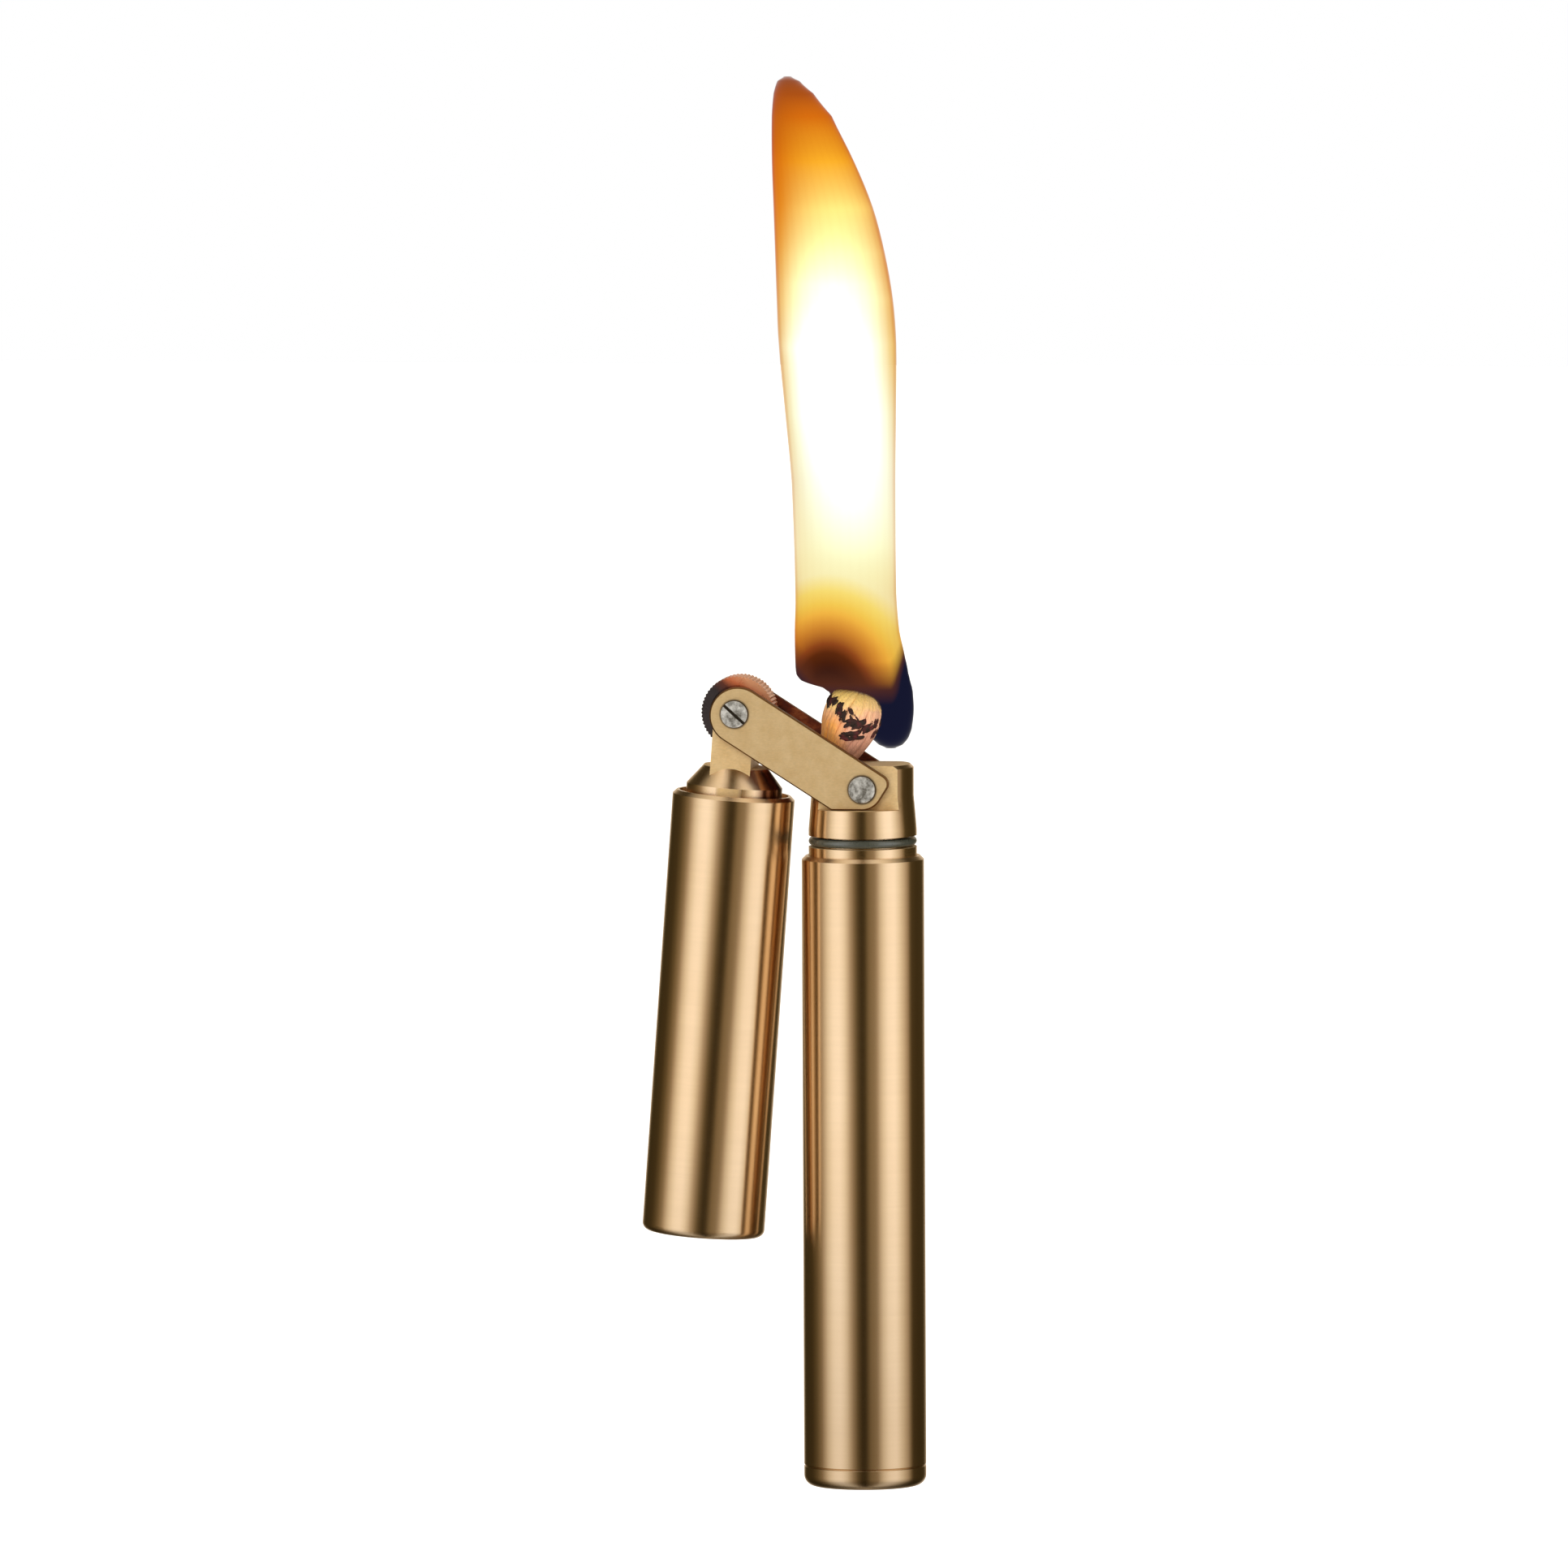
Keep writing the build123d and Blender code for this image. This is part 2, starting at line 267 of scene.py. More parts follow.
def matt_colour(tree, lift=1.0):
    """Colour and grain of pale, softly mottled, brushed brass; lift makes it lighter, which the neck
    and head use as painted light where the plates shade them.
    """
    grain = noise_at(tree, place(tree, stretch=(2500, 2500, 7000)), 1.0, 4.0, 0.7)
    mottle = noise_at(tree, place(tree), 700, 4.0, 0.6)
    light, dark = (tuple(lift * value for value in colour)
                   for colour in (MATT_BRASS, MATT_BRASS_WARM))
    tone = mix_colour(tree, spread(tree, mottle, 0.0, 0.8), light, dark)
    return times(tree, tone, ramp(tree, grain, ((0.3, grey(0.86)), (0.65, grey(1.0))))), grain


def turned_brass(name, axis, matt_mask=None, painted_reflection_mask=None):
    """Brass turned on a lathe: fine rings round the axis, which draw reflections out along it.
    The masks are functions of the tree that mark its matt milled faces and its painted dark-red
    reflection.
    It is darkened towards the lighter's foot, a painted shade."""
    material, tree, shader = new_material(name)
    shader.inputs["Anisotropic"].default_value = 0.9
    rings = noise_at(tree, place(tree, axis, (40, 40, 9000)), 1.0, 3.0, 0.7)
    tool_marks = noise_at(tree, place(tree, axis, (15, 15, 1400)), 1.0, 1.0)
    clouds = noise_at(tree, place(tree, axis, (90, 90, 60)), 1.0, 3.0)
    colour = mix_colour(tree, spread(tree, clouds, 0.0, 0.35), BRASS, BRASS_WARM)
    colour = times(tree, colour, ramp(tree, rings, ((0.25, grey(0.97)), (0.6, grey(1.0)))))
    # Painted shade: darker towards the lighter's foot
    foot = mask_above(tree, parts_of(tree, place(tree))["Z"], 24 * MM, 34 * MM)
    colour = times(tree, colour, ramp(tree, foot, ((0.0, grey(0.78)), (1.0, grey(1.0)))))
    roughness = spread(tree, tool_marks, 0.25, 0.27)
    metallic = 1.0
    height = rings
    if matt_mask is not None:
        mask = matt_mask(tree)
        # Painted light: the neck's and head's matt faces are made 1.4 times lighter than the plates',
        # where the plates shade them
        pale, grain = matt_colour(tree, 1.4)
        colour = mix_colour(tree, mask, colour, pale)
        roughness = blend(tree, mask, roughness, 0.5)
        metallic = blend(tree, mask, 1.0, MATT_METALLIC)
        height = blend(tree, mask, rings, grain)
    if painted_reflection_mask is not None:
        # Painted dark-red reflection
        colour = mix_colour(tree, painted_reflection_mask(tree), colour, PAINTED_RED_REFLECTION)
    join(tree, colour, shader.inputs["Base Color"])
    join(tree, roughness, shader.inputs["Roughness"])
    feed(tree, metallic, shader.inputs["Metallic"])
    first = bump(tree, shader, height, 0.001 * MM, 0.5)
    bump(tree, shader, tool_marks, 0.001 * MM, 0.4, under=first)
    direction = node(tree, "ShaderNodeVectorTransform", vector_type="VECTOR",
                     convert_from="OBJECT", convert_to="WORLD")
    direction.inputs[0].default_value = axis
    join(tree, direction.outputs[0], shader.inputs["Tangent"])
    return material


def head_matt(tree):
    """The burner head's two flats and its top."""
    normal = own_normal(tree)
    sides = mask_above(tree, absolute(tree, normal["Y"]), FLAT_FACE, 0.02)
    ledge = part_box("front_link_plate")[0][2]
    above = mask_above(tree, parts_of(tree, place(tree))["Z"], ledge, 0.04 * MM)
    top = mask_above(tree, normal["Z"], 0.9, 0.05)
    return larger(tree, product(tree, sides, above), top)


def middle_of(low, high):
    return [(a + b) / 2 for a, b in zip(low, high)]


def along_cap(tree):
    """Distance down the cap's axis from the wheel axle, in millimetres."""
    low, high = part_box("striker_wheel")
    axle = Vector(middle_of(low, high))
    height = parts_of(tree, place(tree, CAP_AXIS))["Z"]
    return product(tree, minus(tree, axle.dot(CAP_AXIS), height), 1 / MM)


def neck_matt(tree):
    """The milled fork and stem above the turned shoulder."""
    sides = mask_above(tree, absolute(tree, own_normal(tree)["Y"]), FLAT_FACE, 0.02)
    stem = mask_below(tree, along_cap(tree), 5.9, 0.1)
    return larger(tree, stem, sides)


def neck_painted_reflection(tree):
    """Painted dark-red reflection on the shoulder's side towards the flame."""
    facing = mask_above(tree, own_normal(tree)["X"], 0.62, 0.16)
    shoulder = mask_above(tree, along_cap(tree), 6.1, 0.3)
    cloud = noise_at(tree, place(tree), 500, 3.0)
    return product(tree, product(tree, facing, shoulder), spread(tree, cloud, 0.75, 1.0))


def plate_brass():
    """Flat brass with a matt, slightly mottled face, bevels darkened as painted shade, painted shadow
    round the pins, and inner sides darkened as painted shade between the plates and reddened as
    painted flame light.
    """
    material, tree, shader = new_material("plate_brass")
    pale, grain = matt_colour(tree)
    normal = own_normal(tree)
    face = mask_above(tree, absolute(tree, normal["Y"]), 0.93, 0.06)
    spot = parts_of(tree, place(tree))
    inner = mask_below(tree, product(tree, normal["Y"], spot["Y"]), -0.5 * MM, 0.4 * MM)
    # Painted shade on the bevels
    colour = mix_colour(tree, face, PAINTED_SHADE_BEVEL, pale)
    # Painted shadow on the plates round the pins and screw heads
    for name in ("head_pin", "axle_screw"):
        low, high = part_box(name)
        x, _, z = middle_of(low, high)
        aside = square(tree, minus(tree, spot["X"], x))
        away = maths(tree, "SQRT", plus(tree, aside, square(tree, minus(tree, spot["Z"], z))))
        colour = mix_colour(tree, mask_above(tree, away, PIN_EDGE, 0.22 * MM), PAINTED_PIN_SHADOW, colour)
    # Painted shade between the plates on their inner sides, reddened as painted flame light
    shade_mottle = noise_at(tree, place(tree, stretch=(1, 1, 1.6)), 420, 4.0, 0.65)
    burnt = ramp(tree, shade_mottle, ((0.35, (0.05, 0.02, 0.02)), (0.52, (0.22, 0.045, 0.018)),
                                (0.68, (0.50, 0.15, 0.05))))
    colour = mix_colour(tree, inner, colour, burnt)
    join(tree, colour, shader.inputs["Base Color"])
    join(tree, blend(tree, face, 1.0, MATT_METALLIC), shader.inputs["Metallic"])
    join(tree, spread(tree, grain, 0.44, 0.56), shader.inputs["Roughness"])
    mottle = noise_at(tree, place(tree), 900, 4.0, 0.6)
    first = bump(tree, shader, grain, 0.01 * MM, 0.5)
    bump(tree, shader, mottle, 0.03 * MM, 0.5, under=first)
    return material


def steel(name, colour, roughness):
    material, tree, shader = new_material(name)
    shader.inputs["Metallic"].default_value = 1.0
    even = place(tree)
    scratches = noise_at(tree, place(tree, stretch=(1500, 1500, 9000)), 1.0, 3.0)
    clouds = noise_at(tree, even, 1200, 3.0)
    darker = tuple(0.7 * value for value in colour)
    join(tree, mix_colour(tree, spread(tree, clouds, 0.0, 1.0), colour, darker),
         shader.inputs["Base Color"])
    join(tree, spread(tree, scratches, roughness - 0.06, roughness + 0.08),
         shader.inputs["Roughness"])
    bump(tree, shader, scratches, 0.006 * MM, 0.5)
    return material


def pin_steel():
    """Silvery pins and screw heads, mottled, with painted shade low round their heads and in their
    slots.
    """
    material, tree, shader = new_material("pin_steel")
    even = place(tree)
    shader.inputs["Metallic"].default_value = 0.4
    mottle = noise_at(tree, even, 1300, 4.0, 0.65)
    colour = mix_colour(tree, spread(tree, mottle, -0.2, 1.2),
                        (0.66, 0.65, 0.62), (0.13, 0.12, 0.10))
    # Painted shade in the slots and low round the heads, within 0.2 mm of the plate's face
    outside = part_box("front_link_plate")[0][1]
    height = minus(tree, absolute(tree, parts_of(tree, even)["Y"]), -outside)
    unshaded = mask_above(tree, height, 0.20 * MM, 0.05 * MM)
    join(tree, mix_colour(tree, unshaded, PAINTED_SLOT_SHADE, colour), shader.inputs["Base Color"])
    join(tree, spread(tree, mottle, 0.3, 0.5), shader.inputs["Roughness"])
    bump(tree, shader, mottle, 0.05 * MM, 0.8)
    return material


def wheel_steel():
    """Dark hardened blue-black steel, with painted straw and orange flame light on its side towards
    the flame.
    """
    material, tree, shader = new_material("wheel_steel")
    low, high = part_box("striker_wheel")
    shader.inputs["Metallic"].default_value = 0.5
    even = place(tree)
    spot = parts_of(tree, even)
    x, _, z = middle_of(low, high)
    # Painted flame light, stronger towards the flame, which is above and to the right
    flame_lit = plus(tree, product(tree, minus(tree, spot["X"], x), 0.75), minus(tree, spot["Z"], z))
    cloud = noise_at(tree, even, 600, 4.0, 0.6)
    share = mask_above(tree, plus(tree, product(tree, flame_lit, 1 / MM), cloud), 3.1, 4.2)
    colour = ramp(tree, share, ((0.0, (0.055, 0.045, 0.05)), (0.35, (0.16, 0.05, 0.035)),
                                (0.6, (0.75, 0.20, 0.08)), (0.9, (0.95, 0.45, 0.24))))
    join(tree, colour, shader.inputs["Base Color"])
    join(tree, spread(tree, cloud, 0.22, 0.38), shader.inputs["Roughness"])
    bump(tree, shader, cloud, 0.01 * MM, 0.4)
    return material


def rubber():
    """Black rubber rings, their crests shining faintly."""
    material, tree, shader = new_material("ring_rubber")
    dust = noise_at(tree, place(tree), 2500, 4.0)
    colour = mix_colour(tree, spread(tree, dust, 0.0, 0.5),
                        (0.035, 0.04, 0.03), (0.07, 0.075, 0.06))
    join(tree, colour, shader.inputs["Base Color"])
    join(tree, spread(tree, dust, 0.26, 0.32), shader.inputs["Roughness"])
    shader.inputs["Specular IOR Level"].default_value = 1.0
    shader.inputs["Coat Weight"].default_value = 0.6
    shader.inputs["Coat Roughness"].default_value = 0.25
    return material


def felt(name, colour):
    material, tree, shader = new_material(name)
    fibres = noise_at(tree, place(tree, stretch=(3000, 3000, 900)), 1.0, 5.0, 0.7)
    darker = tuple(0.75 * value for value in colour)
    join(tree, mix_colour(tree, spread(tree, fibres, 0.0, 1.0), colour, darker),
         shader.inputs["Base Color"])
    shader.inputs["Roughness"].default_value = 0.9
    shader.inputs["Sheen Weight"].default_value = 0.3
    bump(tree, shader, fibres, 0.1 * MM, 0.6)
    return material


def wick_fibre():
    """Cotton yarn, pink in the middle, with painted flame light: lighter up the bloom to yellow at
    the top, and orange to the left.
    """
    material, tree, shader = new_material("wick_fibre")
    even = place(tree)
    spot = parts_of(tree, even)
    share = ratio(tree, minus(tree, spot["Z"], WICK_ROOT.z), WICK_HEIGHT)
    patches = noise_at(tree, even, 900, 2.0)
    wandering = plus(tree, share, spread(tree, patches, -0.08, 0.08))
    # Painted flame light: the yarn lightens up the bloom to yellow at the top
    base = ramp(tree, wandering, (
        (0.0, (0.42, 0.19, 0.12)), (0.2, (0.68, 0.32, 0.21)), (0.45, (0.88, 0.43, 0.28)),
        (0.62, (0.93, 0.52, 0.29)), (0.74, (0.96, 0.63, 0.24)), (0.95, (0.96, 0.68, 0.17))))
    # Painted orange flame light on the low left side
    left = minus(tree, WICK_ROOT.x + 0.6 * MM, spot["X"])
    low = mask_below(tree, share, 0.62, 0.25)
    orange = product(tree, mask_above(tree, left, 0.0, 1.6 * MM), low)
    warm = mix_colour(tree, orange, base, (0.98, 0.42, 0.08))
    tone = mix_colour(tree, spread(tree, patches, 0.0, 0.2), warm, (0.66, 0.36, 0.22))
    fibres = noise_at(tree, place(tree, stretch=(9000, 9000, 1500)), 1.0, 3.0)
    join(tree, times(tree, tone, ramp(tree, fibres, ((0.35, grey(0.78)), (0.6, grey(1.0))))),
         shader.inputs["Base Color"])
    shader.inputs["Roughness"].default_value = 0.85
    shader.inputs["Sheen Weight"].default_value = 0.2
    bump(tree, shader, fibres, 0.05 * MM, 0.6)
    return material


def wick_char():
    """Burnt fibre ends, black to dark red."""
    material, tree, shader = new_material("wick_char")
    even = place(tree)
    cloud = noise_at(tree, even, 1500, 3.0)
    colour = ramp(tree, cloud, ((0.42, (0.022, 0.011, 0.007)), (0.55, (0.045, 0.012, 0.010)),
                                (0.70, (0.12, 0.018, 0.020))))
    join(tree, colour, shader.inputs["Base Color"])
    join(tree, spread(tree, cloud, 0.6, 0.9), shader.inputs["Roughness"])
    bump(tree, shader, noise_at(tree, even, 7000, 2.0), 0.03 * MM, 0.6)
    return material


MATERIALS = {
    "turned_brass": turned_brass("turned_brass", Z_AXIS),
    "head_brass": turned_brass("head_brass", Z_AXIS, matt_mask=head_matt),
    "cap_brass": turned_brass("cap_brass", CAP_AXIS),
    "neck_brass": turned_brass("neck_brass", CAP_AXIS, matt_mask=neck_matt,
                               painted_reflection_mask=neck_painted_reflection),
    "plate_brass": plate_brass(),
    "pin_steel": pin_steel(),
    "spring_steel": steel("spring_steel", (0.5, 0.5, 0.5), 0.3),
    "wheel_steel": wheel_steel(),
    "flint_metal": steel("flint_metal", (0.25, 0.24, 0.23), 0.6),
    "ring_rubber": rubber(),
    "wick_fibre": wick_fibre(),
    "wick_char": wick_char(),
    "cotton": felt("cotton", (0.85, 0.83, 0.78)),
    "felt": felt("felt", (0.80, 0.77, 0.70)),
}

NODE_MATERIALS = {
    "body_tube": "turned_brass",
    "base_plug": "turned_brass",
    "burner_head": "head_brass",
    "cap_tube": "cap_brass",
    "hinge_neck": "neck_brass",
    "flint_pusher": "cap_brass",
    "front_link_plate": "plate_brass",
    "rear_link_plate": "plate_brass",
    "head_pin": "pin_steel",
    "axle_screw": "pin_steel",
    "axle_barrel": "pin_steel",
    "flint_screw": "pin_steel",
    "flint_spring": "spring_steel",
    "striker_wheel": "wheel_steel",
    "flint": "flint_metal",
    "closing_oring": "ring_rubber",
    "base_oring": "ring_rubber",
    "neck_orings": "ring_rubber",
    "wick": "wick_fibre",
    "fuel_wadding": "cotton",
    "felt_pad": "felt",
}

for name, material in NODE_MATERIALS.items():
    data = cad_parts[name].data
    data.materials.clear()
    data.materials.append(MATERIALS[material])


# ---------------------------------------------------------------- wick

def smooth_through(points, position):
    """Catmull-Rom curve through (position, value...) points, as a list of values."""
    last = len(points) - 1
    index = 0
    while index < last - 1 and points[index + 1][0] < position:
        index += 1
    before, start, end, after = (points[min(max(index + step, 0), last)] for step in (-1, 0, 1, 2))
    t = min(max((position - start[0]) / (end[0] - start[0]), 0.0), 1.0)
    values = []
    for i in range(1, len(start)):
        a, b, c, d = before[i], start[i], end[i], after[i]
        cubic = 2 * a - 5 * b + 4 * c - d + t * (3 * (b - c) + d - a)
        values.append(b + 0.5 * t * (c - a + t * cubic))
    return values


# Height above the root and radius of the frayed bloom, in millimetres
WICK_PROFILE = ((-0.6, 1.5), (0.0, 1.68), (0.9, 2.15), (2.6, 2.7), (4.4, 2.98), (5.6, 2.85),
                (6.5, 2.4), (7.1, 1.6), (7.4, 0.5))
WICK_STRANDS = 26
WICK_FIBRES = 700
WICK_SEED = 7
WICK_FOOT, WICK_TIP = -0.6, 7.35  # heights between which its yarns and fibres lie
STRAND_RISE = 7.8
WICK_TURN = Matrix.Rotation(radians(WICK_LEAN), 3, "Y")


def wick_point(turn, height, inset=0.0):
    """Point on the bloom: turn in radians round it, height up it, inset below its surface."""
    radius = max(smooth_through(WICK_PROFILE, height)[0] - inset, 0.02)
    local = Vector((radius * cos(turn), radius * sin(turn), height)) * MM
    return WICK_ROOT + WICK_TURN @ local


def add_rings(mesh, rings, slot=0, smooth=False):
    """Closed skin over rings of vertices, with flat ends."""
    count = len(rings[0])
    for low, high in zip(rings, rings[1:]):
        for side in range(count):
            after = (side + 1) % count
            face = mesh.faces.new((low[side], low[after], high[after], high[side]))
            face.material_index = slot
            face.smooth = smooth
    mesh.faces.new(list(reversed(rings[0]))).material_index = slot
    mesh.faces.new(rings[-1]).material_index = slot


def add_piece(name, mesh, materials):
    """New object in the scene from a finished bmesh."""
    data = bpy.data.meshes.new(name)
    mesh.to_mesh(data)
    mesh.free()
    for material in materials:
        data.materials.append(material)
    piece = bpy.data.objects.new(name, data)
    bpy.context.scene.collection.objects.link(piece)
    return piece


def add_tube(mesh, path, radii, sides, slot=0):
    """Closed tube along a path, with a radius at each of its points."""
    rings = []
    for i, (point, radius) in enumerate(zip(path, radii)):
        ahead = path[min(i + 1, len(path) - 1)] - path[max(i - 1, 0)]
        across = ahead.to_track_quat("Z", "X")
        ring = []
        for side in range(sides):
            a = 2 * pi * side / sides
            aside = Vector((radius * cos(a), radius * sin(a), 0))
            ring.append(mesh.verts.new(point + across @ aside))
        rings.append(ring)
    add_rings(mesh, rings, slot, smooth=True)


def add_strand(mesh, number, chance):
    """One thick yarn from the head up over the bloom, slightly twisted."""
    steps = 26
    start = 2 * pi * number / WICK_STRANDS
    twist, wave = 0.5 + chance.uniform(-0.06, 0.06), chance.uniform(0, 2 * pi)
    path, radii = [], []
    for i in range(steps):
        share = i / (steps - 1)
        height = WICK_FOOT + STRAND_RISE * share
        turn = start + twist * share + 0.05 * sin(6 * share + wave)
        path.append(wick_point(turn, height, inset=0.34))
        size = smooth_through(WICK_PROFILE, height)[0]
        radii.append(min(0.46, 0.15 * size + 0.09) * (1 + 0.08 * sin(14 * share + wave)) * MM)
    add_tube(mesh, path, radii, 10)


def add_fibre(mesh, chance):
    """Fine loose fibre that lies along the yarns, its free end standing slightly off them."""
    height = chance.uniform(0.4, 6.9)
    turn = chance.uniform(0, 2 * pi)
    length = chance.uniform(0.7, 1.9)
    drift = chance.uniform(-0.30, 0.30)
    lift = chance.uniform(0.05, 0.22)
    path = [wick_point(turn + drift * i / 5, min(height + length * i / 5, WICK_TIP),
                       inset=0.12 - lift * (i / 5) ** 2) for i in range(6)]
    width = chance.uniform(0.035, 0.07)
    radii = [width * (1 - 0.8 * i / 5) * MM for i in range(6)]
    add_tube(mesh, path, radii, 5)


def add_char(mesh, turn, height, lean, chance):
    """Burnt end of a yarn, lying down the side of the bloom or leaning round it."""
    length = chance.uniform(0.8, 1.5)
    drift = 0.45 * lean * length + chance.uniform(-0.10, 0.10)
    path = [wick_point(turn + drift * i / 6, height - length * (1 - 0.5 * abs(lean)) * i / 6,
                       inset=0.12 - 0.14 * sin(pi * i / 6)) for i in range(7)]
    width = chance.uniform(0.11, 0.26)
    radii = [width * (0.35 + 0.65 * sin(pi * (0.12 + 0.8 * i / 6))) * MM for i in range(7)]
    add_tube(mesh, path, radii, 7, slot=1)


# Burnt clusters round the bloom: degrees round it (-90 is the front), height, how many ends
# and how far they lean from down the bloom (0) to round it (1, or -1 the other way)
CHAR_CLUSTERS = (
    (-168, 6.2, 7, 0), (-147, 5.9, 9, 0.1), (-128, 6.2, 6, -0.3), (-115, 5.7, 10, 0),
    (-103, 5.2, 6, 0.1), (-90, 5.5, 4, 0.5), (-72, 4.5, 9, -0.6), (-60, 4.6, 9, -0.5),
    (-66, 2.9, 8, -1.0), (-50, 3.2, 7, -1.0), (-40, 4.6, 10, -0.3), (-28, 5.4, 8, 0),
    (-14, 4.2, 9, 0), (8, 5.3, 8, 0.2), (30, 4.6, 8, 0), (60, 5.7, 9, 0),
    (95, 5.0, 8, 0.3), (128, 5.8, 8, 0), (160, 5.2, 8, -0.2),
)


def add_core(mesh):
    """Plain filling under the yarns, up the bloom's middle."""
    heights = [height for height, _ in WICK_PROFILE[:-1]]
    path = [wick_point(0, height, inset=10) for height in heights]
    radii = [max(smooth_through(WICK_PROFILE, height)[0] - 0.36, 0.5) * MM for height in heights]
    add_tube(mesh, path, radii, 24)


def make_wick():
    """The frayed, burnt yarns that stand for the wick's plain solid."""
    chance = Random(WICK_SEED)
    mesh = bmesh.new()
    for number in range(WICK_STRANDS):
        add_strand(mesh, number, chance)
    add_core(mesh)
    for _ in range(WICK_FIBRES):
        add_fibre(mesh, chance)
    for degrees_round, height, count, lean in CHAR_CLUSTERS:
        for _ in range(count):
            turn = radians(degrees_round + chance.uniform(-10, 10))
            add_char(mesh, turn, height + chance.uniform(-0.35, 0.35), lean, chance)
    piece = add_piece("wick_yarn", mesh, (MATERIALS["wick_fibre"], MATERIALS["wick_char"]))
    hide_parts("wick")
    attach(piece, "body")


make_wick()


# ---------------------------------------------------------------- flame, only for the picture

# Height in millimetres, then the flame's left and right edges, then how far its middle is
# behind the body's axis
FLAME = (
    (78.3, 2.1, 3.1, 3.4), (78.7, 1.3, 3.9, 3.4), (79.4, 0.5, 4.5, 3.3), (80.4, -0.6, 4.9, 3.2),
    (82.4, -2.6, 5.15, 3.0), (84.4, -3.9, 5.1, 2.6), (84.9, -4.6, 5.05, 2.3), (85.3, -5.8, 5.0, 1.8),
    (85.7, -6.7, 4.95, 1.4), (86.4, -7.15, 4.85, 0.9), (88.0, -7.2, 4.6, 0.4), (91.0, -7.2, 4.0, 0.1),
    (95.0, -7.1, 3.7, 0), (107.0, -7.45, 3.66, 0), (114.2, -8.1, 3.75, 0), (121.5, -8.75, 3.8, 0),
    (126.3, -8.95, 3.45, 0), (131.2, -9.1, 2.6, 0), (136.0, -9.25, 1.35, 0), (140.8, -9.4, -0.6, 0),
    (145.7, -9.4, -3.0, 0), (148.1, -9.2, -4.95, 0), (149.4, -8.8, -6.4, 0), (149.9, -8.1, -7.3, 0),
)
FLAME_DEPTH = 0.8                # front to back, as a share of its width
FLAME_LOW, FLAME_HIGH = FLAME[0][0], FLAME[-1][0]
OUTLINE_REACH = 12               # millimetres either side of the axis that a colour ramp can hold
DARK_CENTRE = (-3.0, 1.0, 83.5)  # the dark gas round the wick, and its half sizes
DARK_SIZE = (5.6, 18.0, 8.0)

# Colour of the flame's skin by height, then what its heart adds per millimetre, as a share
# of HEART_GLOW
SKIN = (
    (78.3, (1.0, 0.93, 0.50)), (97, (1.0, 0.93, 0.50)), (107, (1.0, 0.95, 0.62)),
    (114, (1.0, 0.90, 0.45)), (121, (1.0, 0.74, 0.20)), (126, (0.97, 0.58, 0.10)),
    (131, (0.93, 0.43, 0.035)), (136, (0.88, 0.30, 0.010)), (141, (0.80, 0.22, 0.006)),
    (145.7, (0.60, 0.14, 0.006)), (148, (0.44, 0.09, 0.008)), (149.9, (0.28, 0.06, 0.010)),
)
HEART = (
    (78.3, (0, 0, 0)), (94, (0, 0, 0)), (100, (0.04, 0.10, 0.10)), (107, (0.10, 0.25, 0.35)),
    (114, (0.20, 0.55, 0.80)), (121, (0.30, 0.70, 0.95)), (126, (0.30, 0.70, 0.62)),
    (131, (0.30, 0.72, 0.46)), (136, (0.35, 0.70, 0.26)), (141, (0.40, 0.42, 0.03)),
    (145.7, (0.20, 0.05, 0)), (148, (0, 0, 0)),
)
HEART_GLOW = 4.0
# How thick the gas is by height, as a share of THICKEST
THICKNESS = ((78.3, 0.9), (88, 0.9), (93, 0.6), (100, 0.28), (128, 0.28), (136, 0.45), (143, 0.7),
             (149.9, 0.8))
THICKEST = 2.5                   # per millimetre
FILM_THICKNESS = 0.45            # what the outermost film adds, per millimetre
# How far the heart leans to the right, as a share of the half width, plus a half
HEART_LEAN = ((78.3, 0.64), (100, 0.60), (114, 0.50), (121, 0.47), (131, 0.53), (137, 0.60),
              (149.9, 0.62))
# Tint by distance from the dark gas, where 1 is its edge: red-brown, orange, then yellow
DARK_TINT = (
    (0.50, (0.030, 0.008, 0.010)), (0.74, (0.12, 0.030, 0.012)), (0.85, (0.30, 0.08, 0.03)),
    (0.95, (0.50, 0.19, 0.05)), (1.05, (0.68, 0.30, 0.07)), (1.14, (0.82, 0.42, 0.10)),
    (1.24, (0.96, 0.58, 0.14)), (1.36, (0.97, 0.72, 0.20)), (1.53, (1.0, 0.87, 0.38)),
    (1.75, (1.0, 1.0, 1.0)),
)
FILM_TINT = (0.62, 0.30, 0.10)   # the flame's outermost film
EMBER_COLOUR = (0.10, 0.028, 0.014)
FOOT_COLOUR = (0.008, 0.009, 0.028)   # the blue-black gas under the flame, beside the wick
# Where the foot turns to ember and the ember to flame: height and how far the change spreads
FOOT_EDGE = (84.4, 2.4)
EMBER_EDGE = (86.4, 3.2)


def greys(stops):
    """Stops of plain numbers as stops of grey."""
    return [(position, grey(value)) for position, value in stops]


def up_flame(stops):
    """Stops by height in millimetres as stops by share of the flame's height."""
    return [((height - FLAME_LOW) / (FLAME_HIGH - FLAME_LOW), colour) for height, colour in stops]


def together(tree, first, second):
    """Two shaders added."""
    made = node(tree, "ShaderNodeAddShader")
    join(tree, first, made.inputs[0])
    join(tree, second, made.inputs[1])
    return made.outputs[0]


